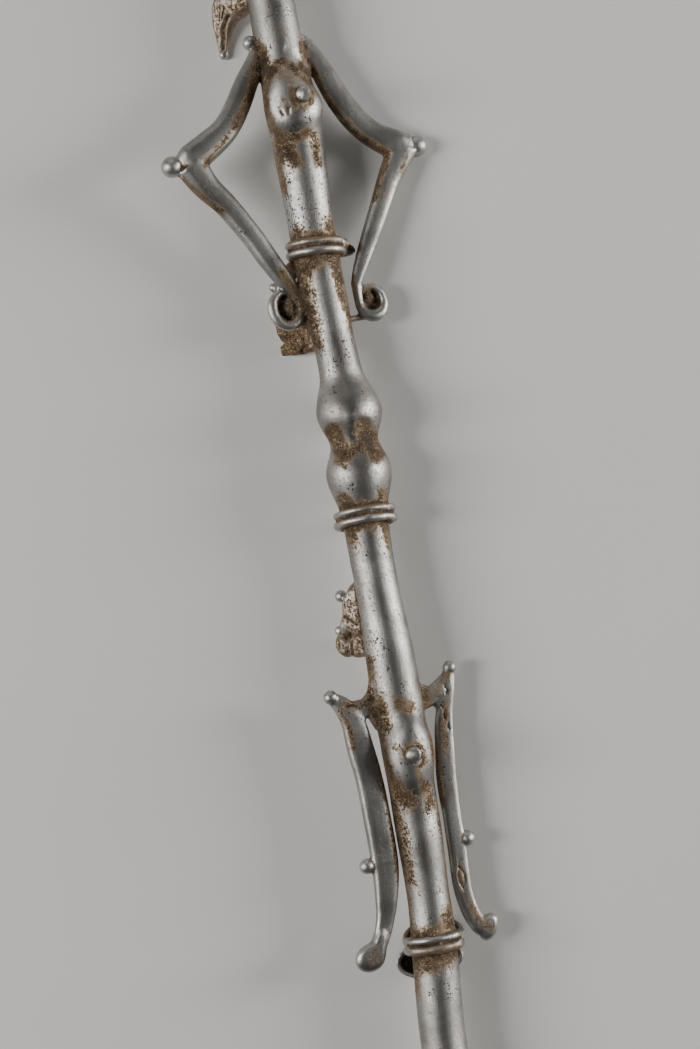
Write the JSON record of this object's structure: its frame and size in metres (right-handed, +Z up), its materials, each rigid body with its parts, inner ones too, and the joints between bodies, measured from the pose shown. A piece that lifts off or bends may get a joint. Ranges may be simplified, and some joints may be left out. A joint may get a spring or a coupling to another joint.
{
  "type": "ceremonial staff",
  "caption": "Cast iron ceremonial staff with a stylised figure along its shaft: arms on hips with scroll hands, hanging arms, navels, strand rings and knobs. It lies down when loose.",
  "frame": {"origin": "middle of the bounding box, at the level on which the staff rests", "axes": "+Y along the shaft towards its head, +Z up from the floor, +X to the right as seen from above with the head up"},
  "size_m": [0.1126, 0.9, 0.0326],
  "materials": {
    "worn_iron": "worn grey iron, polished on the high places, brown residue in the recesses, small pits"
  },
  "bodies": {
    "root": {"staff": "worn_iron"}
  },
  "joints": []
}
